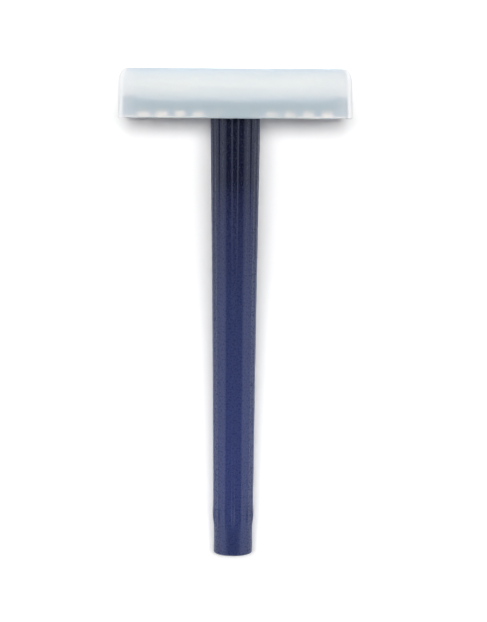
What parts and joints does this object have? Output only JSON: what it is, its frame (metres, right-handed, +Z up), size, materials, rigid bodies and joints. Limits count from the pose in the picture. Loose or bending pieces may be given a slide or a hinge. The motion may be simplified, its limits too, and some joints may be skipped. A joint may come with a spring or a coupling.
{
  "type": "surgical prep razor",
  "caption": "T-shaped prep razor with a ribbed tubular handle, a comb-guarded double-edge blade under an arched cap, and a push-on frosted cover.",
  "frame": {"origin": "centre of the box's bottom face, on the surface that the razor lies on", "axes": "+Y along the surface from the handle's end to the head, +Z up out of the razor's front face, X across the head"},
  "size_m": [0.0472, 0.102, 0.0273],
  "materials": {
    "navy_handle_plastic": "satin-gloss moulded navy plastic",
    "navy_head_plastic": "satin moulded navy plastic",
    "blade_steel": "thin bright steel strip with ground edges",
    "frosted_cover_plastic": "milky translucent plastic with a fine matt skin"
  },
  "bodies": {
    "razor": {"handle": "navy_handle_plastic", "comb_guard": "navy_head_plastic", "razor_blade": "blade_steel", "top_cap": "navy_head_plastic"},
    "cover": {"blade_cover": "frosted_cover_plastic"}
  },
  "joints": [
    {"name": "cover_slide", "type": "slide", "parent": "razor", "child": "cover", "axis": [0, 0.9946, 0.1035], "range_m": [0, 0.015]}
  ]
}
